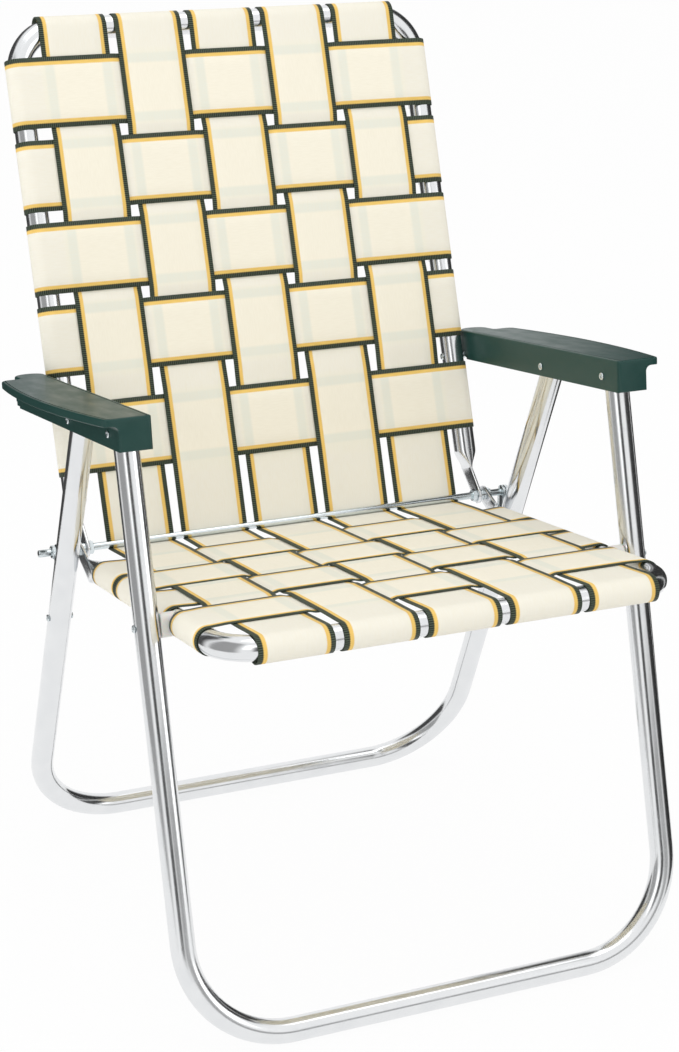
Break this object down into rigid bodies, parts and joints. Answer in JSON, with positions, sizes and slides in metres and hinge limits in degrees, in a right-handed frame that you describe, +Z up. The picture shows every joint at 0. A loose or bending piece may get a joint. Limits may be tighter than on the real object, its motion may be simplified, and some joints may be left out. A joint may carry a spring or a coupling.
{
  "type": "folding webbed lawn chair",
  "caption": "Folding garden chair with bent tube frames, woven webbing seat and back, moulded arm rests and links that let it fold flat.",
  "frame": {"origin": "on the floor, under the middle of the open chair's box", "axes": "+Z up, the sitter faces -Y, +X to the right of someone who looks at the chair from the front"},
  "size_m": [0.6364, 0.677, 0.9408],
  "materials": {
    "aluminium": "polished",
    "zinc_hardware": "zinc plated",
    "green_plastic": "satin moulded",
    "white_plastic": "satin moulded, slightly see-through",
    "webbing": "woven plastic strap, cream with green and gold edge stripes"
  },
  "bodies": {
    "rear_legs": {"rear_leg_frame": "aluminium", "left_link_rivet": "zinc_hardware", "right_link_rivet": "zinc_hardware"},
    "arms": {"left_arm": "green_plastic", "left_front_leg_rivet": "zinc_hardware", "left_rear_leg_rivet": "zinc_hardware", "left_back_rivet": "zinc_hardware", "right_arm": "green_plastic", "right_front_leg_rivet": "zinc_hardware", "right_rear_leg_rivet": "zinc_hardware", "right_back_rivet": "zinc_hardware"},
    "front_legs": {"front_leg_frame": "aluminium", "left_seat_rivet": "zinc_hardware", "right_seat_rivet": "zinc_hardware"},
    "back": {"back_frame": "aluminium", "axle_rod": "zinc_hardware", "left_axle_nut": "zinc_hardware", "left_axle_spacer": "zinc_hardware", "left_axle_outer_nut": "zinc_hardware", "right_axle_nut": "zinc_hardware", "right_axle_spacer": "zinc_hardware", "right_axle_outer_nut": "zinc_hardware", "back_cross_strap_1": "webbing", "back_cross_strap_2": "webbing", "back_cross_strap_3": "webbing", "back_cross_strap_4": "webbing", "back_cross_strap_5": "webbing", "back_long_strap_1": "webbing", "back_long_strap_2": "webbing", "back_long_strap_3": "webbing", "back_long_strap_4": "webbing", "back_long_strap_5": "webbing"},
    "seat": {"seat_frame": "aluminium", "left_seat_pin": "zinc_hardware", "left_seat_spacer": "white_plastic", "right_seat_pin": "zinc_hardware", "right_seat_spacer": "white_plastic", "seat_cross_strap_1": "webbing", "seat_cross_strap_2": "webbing", "seat_cross_strap_3": "webbing", "seat_cross_strap_4": "webbing", "seat_long_strap_1": "webbing", "seat_long_strap_2": "webbing", "seat_long_strap_3": "webbing", "seat_long_strap_4": "webbing", "seat_long_strap_5": "webbing"},
    "links": {"left_link": "zinc_hardware", "left_axle_end": "zinc_hardware", "left_axle_end_nut": "zinc_hardware", "right_link": "zinc_hardware", "right_axle_end": "zinc_hardware", "right_axle_end_nut": "zinc_hardware"}
  },
  "joints": [
    {"name": "arm_fold", "type": "hinge", "parent": "rear_legs", "child": "arms", "pos_m": [0, -0.00176, 0.57769], "axis": [-1, 0, 0], "range_deg": [0, 44.3]},
    {"name": "front_leg_fold", "type": "hinge", "parent": "arms", "child": "front_legs", "pos_m": [0, -0.13582, 0.6006], "axis": [1, 0, 0], "range_deg": [0, 84.47]},
    {"name": "back_fold", "type": "hinge", "parent": "arms", "child": "back", "pos_m": [0, 0.187, 0.54542], "axis": [1, 0, 0], "range_deg": [0, 91.18]},
    {"name": "seat_fold", "type": "hinge", "parent": "back", "child": "seat", "pos_m": [0, 0.11336, 0.3955], "axis": [-1, 0, 0], "range_deg": [0, 97.65]},
    {"name": "link_fold", "type": "hinge", "parent": "rear_legs", "child": "links", "pos_m": [0, 0.11503, 0.31936], "axis": [-1, 0, 0], "range_deg": [0, 135.17]}
  ],
  "couplings": [
    {"joint": "front_leg_fold", "follows": "arm_fold", "ratio": 1.9067},
    {"joint": "back_fold", "follows": "arm_fold", "ratio": 2.0582},
    {"joint": "seat_fold", "follows": "arm_fold", "ratio": 2.2043},
    {"joint": "link_fold", "follows": "arm_fold", "ratio": 3.0513}
  ]
}
